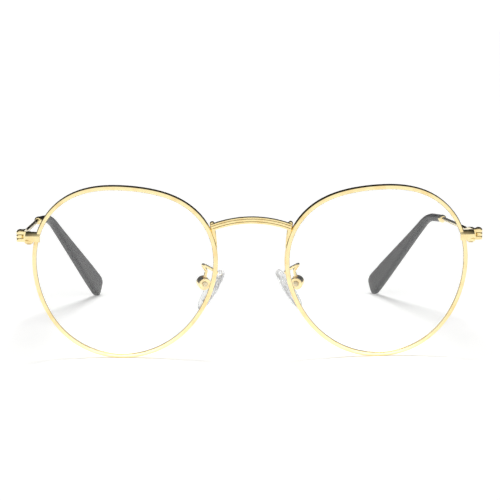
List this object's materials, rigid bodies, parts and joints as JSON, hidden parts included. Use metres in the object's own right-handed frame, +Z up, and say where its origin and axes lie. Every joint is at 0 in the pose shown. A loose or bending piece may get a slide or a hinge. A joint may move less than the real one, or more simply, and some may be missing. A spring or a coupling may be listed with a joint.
{
  "type": "round wire eyeglasses",
  "caption": "Round metal-rimmed eyeglasses with clear lenses, an arched bridge, adjustable nose pads and folding wire temples with plastic ear tips.",
  "frame": {"origin": "On the surface that the glasses stand on, in the middle of the open frame's width and depth.", "axes": "+X is the wearer's left and runs from one hinge to the other, -Y is the way the lenses face, +Y runs back along the temples and +Z is up."},
  "size_m": [0.131, 0.1298, 0.0492],
  "materials": {
    "gold_rim": "polished pale gold plating",
    "gold_bridge": "polished pale gold plating with engraved lines on the bridge",
    "gold_hardware": "polished pale gold plating",
    "gold_wire": "polished pale gold plating on drawn wire",
    "screw_steel": "gold-tinted steel screws",
    "clear_lens": "clear, polished, with a thin anti-reflection coat",
    "clear_silicone": "clear moulded silicone",
    "clear_core": "clear moulded plastic",
    "dark_tip": "smooth black plastic, lightly polished"
  },
  "bodies": {
    "front": {"bridge": "gold_bridge", "left_rim": "gold_rim", "left_lens": "clear_lens", "left_end_piece": "gold_bridge", "left_rim_lock": "gold_hardware", "left_rim_screw": "screw_steel", "left_front_hinge": "gold_hardware", "left_hinge_screw": "screw_steel", "left_pad_arm": "gold_wire", "left_pad_box": "gold_hardware", "left_pad_screw": "screw_steel", "right_rim": "gold_rim", "right_lens": "clear_lens", "right_end_piece": "gold_bridge", "right_rim_lock": "gold_hardware", "right_rim_screw": "screw_steel", "right_front_hinge": "gold_hardware", "right_hinge_screw": "screw_steel", "right_pad_arm": "gold_wire", "right_pad_box": "gold_hardware", "right_pad_screw": "screw_steel"},
    "left_temple": {"left_temple_hinge": "gold_hardware", "left_temple_wire": "gold_wire", "left_temple_tip": "dark_tip", "left_ferrule": "gold_hardware"},
    "right_temple": {"right_temple_hinge": "gold_hardware", "right_temple_wire": "gold_wire", "right_temple_tip": "dark_tip", "right_ferrule": "gold_hardware"},
    "left_pad": {"left_nose_pad": "clear_silicone", "left_pad_core": "clear_core"},
    "right_pad": {"right_nose_pad": "clear_silicone", "right_pad_core": "clear_core"}
  },
  "joints": [
    {"name": "left_temple_fold", "type": "hinge", "parent": "front", "child": "left_temple", "pos_m": [0.06435, -0.05694, 0.0344], "axis": [0, 0, 1], "range_deg": [0, 81]},
    {"name": "right_temple_fold", "type": "hinge", "parent": "front", "child": "right_temple", "pos_m": [-0.06435, -0.05694, 0.0344], "axis": [0, 0, -1], "range_deg": [0, 75]},
    {"name": "left_pad_rock", "type": "hinge", "parent": "front", "child": "left_pad", "pos_m": [0.01325, -0.05564, 0.0209], "axis": [-0.3002, -0.9205, -0.2501], "range_deg": [-8, 8]},
    {"name": "right_pad_rock", "type": "hinge", "parent": "front", "child": "right_pad", "pos_m": [-0.01325, -0.05564, 0.0209], "axis": [0.3002, -0.9205, -0.2501], "range_deg": [-8, 8]}
  ]
}
